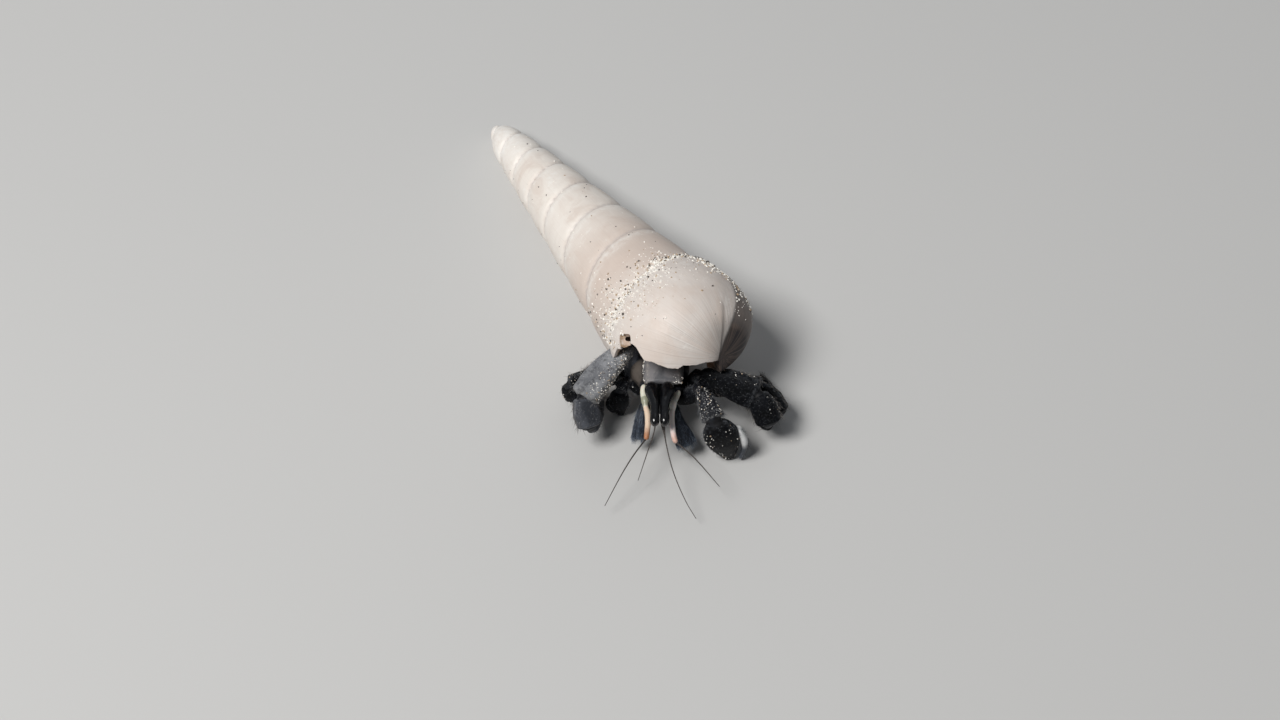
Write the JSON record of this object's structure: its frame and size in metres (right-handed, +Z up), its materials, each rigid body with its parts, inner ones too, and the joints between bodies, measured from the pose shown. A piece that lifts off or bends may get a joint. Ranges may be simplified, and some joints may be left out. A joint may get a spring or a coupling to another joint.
{
  "type": "hermit crab",
  "caption": "Land hermit crab walking in a long, smooth auger shell, with its large left claw in front and its eyes and feelers out.",
  "frame": {"origin": "middle of the footprint, on the floor", "axes": "+Z up, -Y the way the crab faces, +X its left side"},
  "size_m": [0.045, 0.0776, 0.0223],
  "materials": {
    "shell": "worn cream snail shell, satin, with fine growth lines",
    "plate": "smooth blue-grey horny plate",
    "flank": "brownish grey skin of the flanks",
    "eyestalk": "glossy black",
    "eye": "wet black eye",
    "peduncle": "smooth cream, orange towards the tip",
    "feeler": "dark ringed feeler",
    "mouthpart": "hairy blue-grey",
    "claw": "granular blue-black horny plate",
    "claw_pale": "pale blue horny finger",
    "leg": "granular slate-grey horny plate"
  },
  "bodies": {
    "root": {"shell": "shell", "shield": "plate", "thorax": "flank", "eyestalk_left": "eyestalk", "cornea_left": "eye", "antenna_left_peduncle": "peduncle", "antenna_left_flagellum": "feeler", "antennule_left": "feeler", "maxilliped_left": "mouthpart", "eyestalk_right": "eyestalk", "cornea_right": "eye", "antenna_right_peduncle": "peduncle", "antenna_right_flagellum": "feeler", "antennule_right": "feeler", "maxilliped_right": "mouthpart", "cheliped_left_merus": "claw", "cheliped_left_carpus": "claw", "cheliped_left_palm": "claw", "cheliped_left_dactyl": "claw_pale", "cheliped_right_merus": "claw", "cheliped_right_carpus": "claw", "cheliped_right_palm": "claw", "cheliped_right_dactyl": "claw", "leg2_right_ischium": "leg", "leg2_right_merus": "leg", "leg2_right_carpus": "leg", "leg2_right_propodus": "leg", "leg2_right_dactyl": "leg", "leg2_left_ischium": "leg", "leg2_left_merus": "leg", "leg2_left_carpus": "leg", "leg2_left_propodus": "leg", "leg2_left_dactyl": "leg", "leg3_right_ischium": "leg", "leg3_right_merus": "leg", "leg3_right_carpus": "leg", "leg3_right_propodus": "leg", "leg3_right_dactyl": "leg", "leg3_left_ischium": "leg", "leg3_left_merus": "leg", "leg3_left_carpus": "leg", "leg3_left_propodus": "leg", "leg3_left_dactyl": "leg"}
  },
  "joints": []
}
